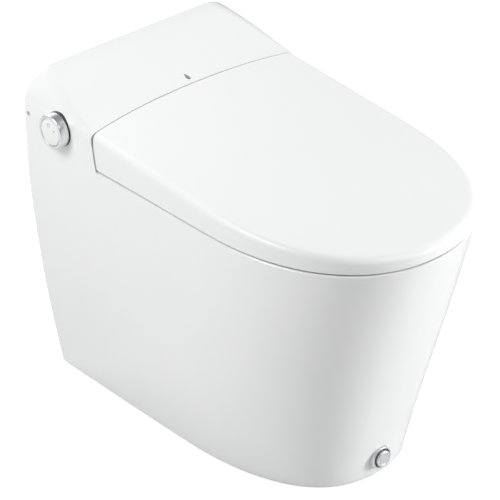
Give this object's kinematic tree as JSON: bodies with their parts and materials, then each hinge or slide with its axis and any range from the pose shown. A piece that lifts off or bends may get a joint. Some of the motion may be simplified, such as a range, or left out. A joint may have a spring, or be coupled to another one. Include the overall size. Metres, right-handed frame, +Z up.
{
  "type": "electric bidet toilet",
  "caption": "One-piece skirted toilet with an electric bidet seat: crowned lid, warm seat, wash wand, rear hood with a side knob and a foot flush button.",
  "frame": {"origin": "on the floor plane, on the centreline, at the middle of the ceramic base's cross rib, 330 mm in front of the wall plane", "axes": "+Z up, +Y towards the wall behind the toilet, +X towards the sitter's left hand; the front tip faces -Y and the side knob is on the -X side"},
  "size_m": [0.4177, 0.6645, 0.523],
  "materials": {
    "ceramic": "glossy white glaze",
    "lid": "satin white moulded plastic",
    "seat": "smooth white moulded plastic",
    "inner_plastic": "fine-grained white plastic",
    "grey_plastic": "matt grey moulded plastic",
    "dark_plastic": "matt black moulded plastic",
    "mark": "grey fired mark, flush with the glaze",
    "chrome": "satin chrome plating",
    "steel": "brushed stainless steel",
    "rubber": "soft matt elastomer",
    "board": "green solder mask",
    "copper": "bare copper foil",
    "lens": "frosted clear lens"
  },
  "bodies": {
    "base": {"ceramic_body": "ceramic", "bowl_basin": "ceramic", "trap_way": "ceramic", "drop_mark": "mark", "unit_chassis": "grey_plastic", "unit_cover": "seat", "night_light_lens": "lens", "dryer_grille": "inner_plastic", "hinge_pin_left": "steel", "hinge_pin_right": "steel", "seat_damper": "dark_plastic", "lid_damper": "dark_plastic", "wand_guide": "grey_plastic", "back_panel": "inner_plastic", "water_heater": "steel", "wash_pump": "dark_plastic", "inlet_valve": "dark_plastic", "inlet_connector": "steel", "supply_hose": "grey_plastic", "wash_hose": "grey_plastic", "dryer_fan_case": "grey_plastic", "dryer_duct": "grey_plastic", "deodoriser": "grey_plastic", "control_board": "board", "power_supply": "dark_plastic", "power_gland": "dark_plastic", "outlet_gasket": "rubber", "floor_bracket_left": "steel", "floor_bracket_right": "steel", "knob_escutcheon": "dark_plastic", "knob_encoder": "dark_plastic", "side_plug": "grey_plastic", "foot_bezel": "chrome", "foot_switch": "dark_plastic"},
    "seat": {"seat_base_plate": "inner_plastic", "seat_upper_shell": "seat", "seat_heater": "copper", "seat_bumper_front_left": "rubber", "seat_bumper_front_right": "rubber", "seat_bumper_rear_left": "rubber", "seat_bumper_rear_right": "rubber"},
    "lid": {"lid_outer_shell": "lid", "lid_inner_panel": "inner_plastic", "lid_bumper_left": "rubber", "lid_bumper_right": "rubber"},
    "wand_tube": {"wand_outer_tube": "steel"},
    "wand": {"wash_wand": "seat", "wand_tip": "chrome"},
    "fan": {"fan_impeller": "dark_plastic"},
    "knob": {"knob_ring": "chrome"},
    "knob_cap": {"knob_button": "seat"},
    "flush_button": {"foot_button": "chrome"}
  },
  "joints": [
    {"name": "seat_hinge", "type": "hinge", "parent": "base", "child": "seat", "pos_m": [0, 0.152, 0.471], "axis": [1, 0, 0], "range_deg": [-90, 0]},
    {"name": "lid_hinge", "type": "hinge", "parent": "seat", "child": "lid", "pos_m": [0, 0.152, 0.471], "axis": [-1, 0, 0], "range_deg": [0, 97]},
    {"name": "wand_tube_slide", "type": "slide", "parent": "base", "child": "wand_tube", "axis": [0, -0.866, -0.5], "range_m": [0, 0.055]},
    {"name": "wand_slide", "type": "slide", "parent": "wand_tube", "child": "wand", "axis": [0, -0.866, -0.5], "range_m": [0, 0.055]},
    {"name": "fan_spin", "type": "hinge", "parent": "base", "child": "fan", "pos_m": [0.088, 0.256, 0.29], "axis": [0, 1, 0], "continuous": true},
    {"name": "knob_turn", "type": "hinge", "parent": "base", "child": "knob", "pos_m": [-0.2, 0.2515, 0.462], "axis": [-1, 0, 0], "range_deg": [-45, 45], "stiffness_Nm_per_rad": 0.05},
    {"name": "knob_press", "type": "slide", "parent": "knob", "child": "knob_cap", "axis": [1, 0, 0], "range_m": [0, 0.002], "stiffness_N_per_m": 800},
    {"name": "foot_press", "type": "slide", "parent": "base", "child": "flush_button", "axis": [0, 1, 0], "range_m": [0, 0.004], "stiffness_N_per_m": 1200}
  ],
  "couplings": [
    {"joint": "wand_slide", "follows": "wand_tube_slide", "ratio": 1}
  ]
}
